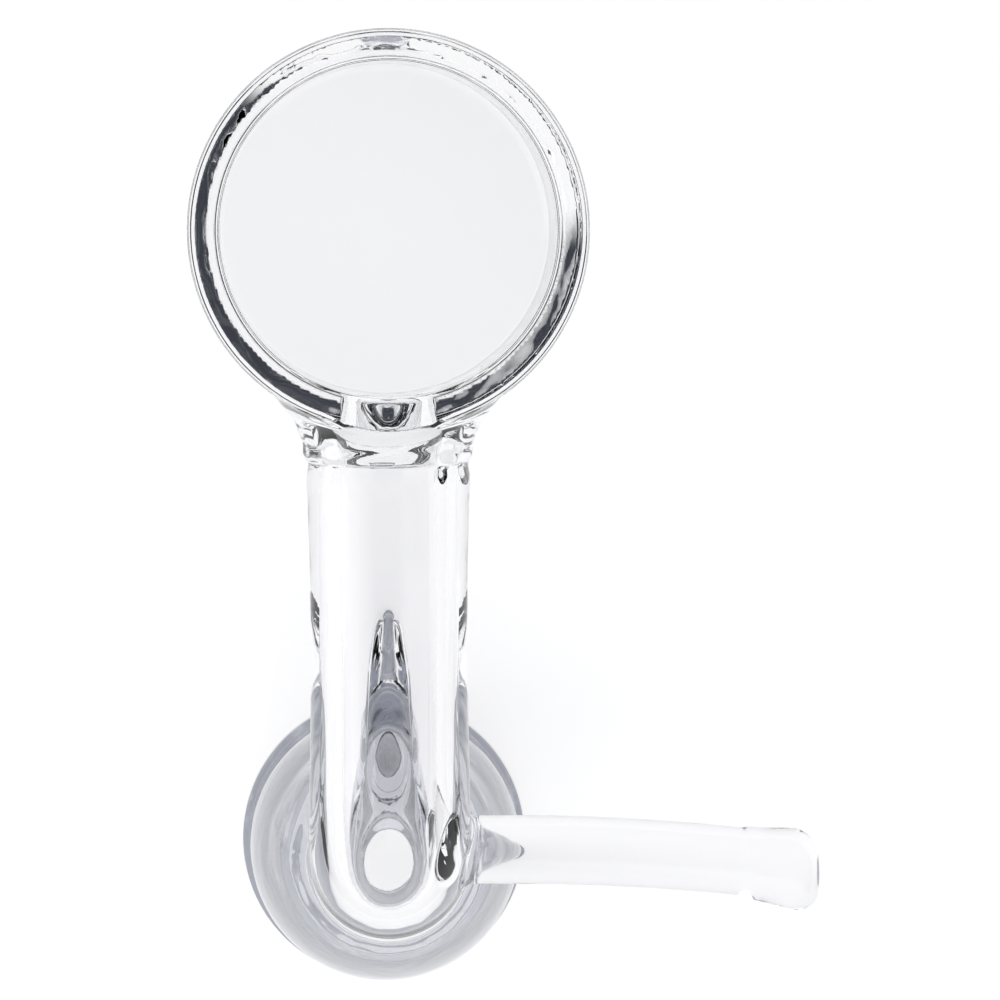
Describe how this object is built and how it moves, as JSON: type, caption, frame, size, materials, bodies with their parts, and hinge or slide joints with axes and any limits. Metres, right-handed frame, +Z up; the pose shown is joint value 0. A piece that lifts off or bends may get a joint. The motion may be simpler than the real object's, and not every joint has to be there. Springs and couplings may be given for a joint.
{
  "type": "quartz bucket with ground socket joint",
  "caption": "Clear fused-quartz bucket on a bent neck, with a ground taper socket facing down and a solid side handle with a rounded end.",
  "frame": {"origin": "middle of the socket's mouth plane", "axes": "+Z up along the socket's axis, from the mouth towards the neck; +Y towards the bucket; +X towards the handle"},
  "size_m": [0.0396, 0.0621, 0.04],
  "materials": {
    "clear_quartz": "clear, drawn tube, rod and disc",
    "melted_quartz": "clear, flame-melted, slightly wavy",
    "ground_quartz": "clear outside, frosted where the bore is ground"
  },
  "bodies": {
    "root": {"bucket_wall": "clear_quartz", "bucket_base": "clear_quartz", "neck_weld": "melted_quartz", "neck_tube": "clear_quartz", "socket_weld": "melted_quartz", "socket_joint": "ground_quartz", "socket_lip": "ground_quartz", "handle_weld": "melted_quartz", "handle_rod": "clear_quartz", "handle_knob": "melted_quartz"}
  },
  "joints": []
}
